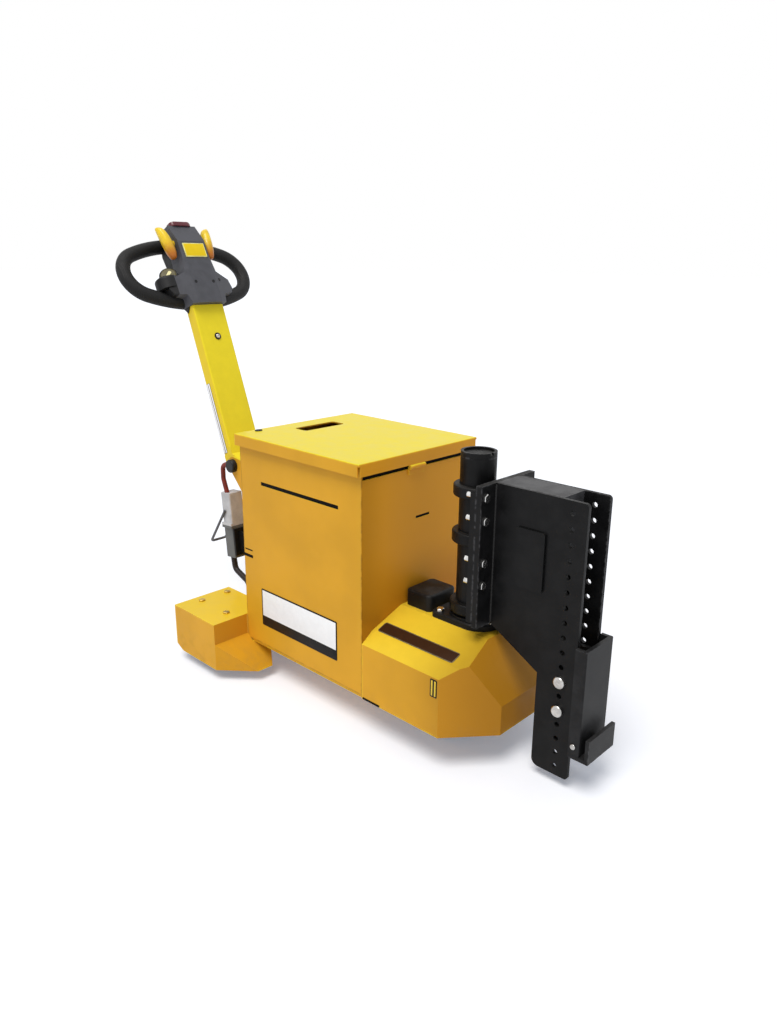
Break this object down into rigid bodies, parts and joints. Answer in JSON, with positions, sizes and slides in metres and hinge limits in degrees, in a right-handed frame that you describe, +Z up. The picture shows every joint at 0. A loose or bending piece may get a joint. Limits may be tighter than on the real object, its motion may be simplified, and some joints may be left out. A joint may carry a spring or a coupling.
{
  "type": "electric tow tractor",
  "caption": "Pedestrian-controlled electric tow tractor with a tiller, a battery box on drive wheels and castors, and a front mast with a lifting tow hitch.",
  "frame": {"origin": "on the floor under the middle of the machine's length and width", "axes": "+X forward to the mast and the tow hitch, +Y to the left of one who walks behind the tiller, +Z up"},
  "size_m": [1.463, 0.566, 1.1182],
  "materials": {
    "yellow_paint": "gloss",
    "black_paint": "satin",
    "zinc_steel": "satin",
    "dark_steel": "satin",
    "grip_rubber": "matte",
    "grey_tyre": "matte",
    "castor_tread": "matte",
    "wheel_metal": "satin",
    "grey_plastic": "matte",
    "black_plastic": "matte",
    "red_plastic": "satin",
    "yellow_plastic": "satin",
    "battery_case": "matte",
    "plug_plastic": "matte",
    "socket_plastic": "matte",
    "lead_red": "satin",
    "lead_black": "satin"
  },
  "bodies": {
    "chassis": {"battery_block": "battery_case", "battery_plug": "plug_plastic", "battery_socket": "socket_plastic", "body_shell": "yellow_paint", "castor_bolts_left": "zinc_steel", "castor_bolts_right": "zinc_steel", "castor_housing_left": "yellow_paint", "castor_housing_right": "yellow_paint", "castor_mount_left": "dark_steel", "castor_mount_right": "dark_steel", "chassis_frame": "black_paint", "drive_housing": "yellow_paint", "drive_unit": "wheel_metal", "foot_bolts": "zinc_steel", "lid_hinge": "dark_steel", "lower_lead": "lead_black", "mast_block": "black_paint", "mast_foot": "black_paint", "mast_post": "black_paint", "pivot_pin": "black_plastic", "plug_bail": "dark_steel", "post_cap": "black_plastic", "tiller_tower": "yellow_paint", "upper_lead": "lead_red"},
    "hitch": {"carriage_bolts": "zinc_steel", "cradle_bolts": "zinc_steel", "hitch_backplate": "black_paint", "hitch_cradle": "black_paint", "hitch_spacer": "black_paint", "side_plate_left": "black_paint", "side_plate_right": "black_paint", "slide_carriage": "black_paint"},
    "castor_swivel_left": {"castor_fork_left": "dark_steel"},
    "castor_swivel_right": {"castor_fork_right": "dark_steel"},
    "castor_wheel_left": {"castor_hub_left": "wheel_metal", "castor_tread_left": "castor_tread"},
    "castor_wheel_right": {"castor_hub_right": "wheel_metal", "castor_tread_right": "castor_tread"},
    "drive_wheel_left": {"drive_hub_left": "wheel_metal", "drive_tyre_left": "grey_tyre"},
    "drive_wheel_right": {"drive_hub_right": "wheel_metal", "drive_tyre_right": "grey_tyre"},
    "tiller": {"grip_loop": "grip_rubber", "head_button": "red_plastic", "paddle_left": "yellow_plastic", "paddle_right": "yellow_plastic", "tiller_arm": "yellow_paint", "tiller_head": "grey_plastic"},
    "lid": {"lid_panel": "yellow_paint"}
  },
  "joints": [
    {"name": "drive_wheel_right_axle", "type": "hinge", "parent": "chassis", "child": "drive_wheel_right", "pos_m": [0.36053, -0.066, 0.1], "axis": [0, 1, 0], "continuous": true},
    {"name": "castor_right_swivel", "type": "hinge", "parent": "chassis", "child": "castor_swivel_right", "pos_m": [-0.27747, -0.178, 0.098], "axis": [0, 0, 1], "continuous": true},
    {"name": "castor_right_axle", "type": "hinge", "parent": "castor_swivel_right", "child": "castor_wheel_right", "pos_m": [-0.29547, -0.178, 0.0375], "axis": [0, 1, 0], "continuous": true},
    {"name": "drive_wheel_left_axle", "type": "hinge", "parent": "chassis", "child": "drive_wheel_left", "pos_m": [0.36053, 0.066, 0.1], "axis": [0, 1, 0], "continuous": true},
    {"name": "castor_left_swivel", "type": "hinge", "parent": "chassis", "child": "castor_swivel_left", "pos_m": [-0.27747, 0.178, 0.098], "axis": [0, 0, 1], "continuous": true},
    {"name": "castor_left_axle", "type": "hinge", "parent": "castor_swivel_left", "child": "castor_wheel_left", "pos_m": [-0.29547, 0.178, 0.0375], "axis": [0, 1, 0], "continuous": true},
    {"name": "lid_hinge_axis", "type": "hinge", "parent": "chassis", "child": "lid", "pos_m": [0.24293, 0, 0.589], "axis": [0, 1, 0], "range_deg": [0, 95]},
    {"name": "tiller_pivot", "type": "hinge", "parent": "chassis", "child": "tiller", "pos_m": [-0.38747, 0, 0.482], "axis": [0, -1, 0], "range_deg": [0, 65], "stiffness_Nm_per_rad": 45, "springref_deg": -74.48},
    {"name": "hitch_lift", "type": "slide", "parent": "chassis", "child": "hitch", "axis": [0, 0, 1], "range_m": [0, 0.06]}
  ]
}
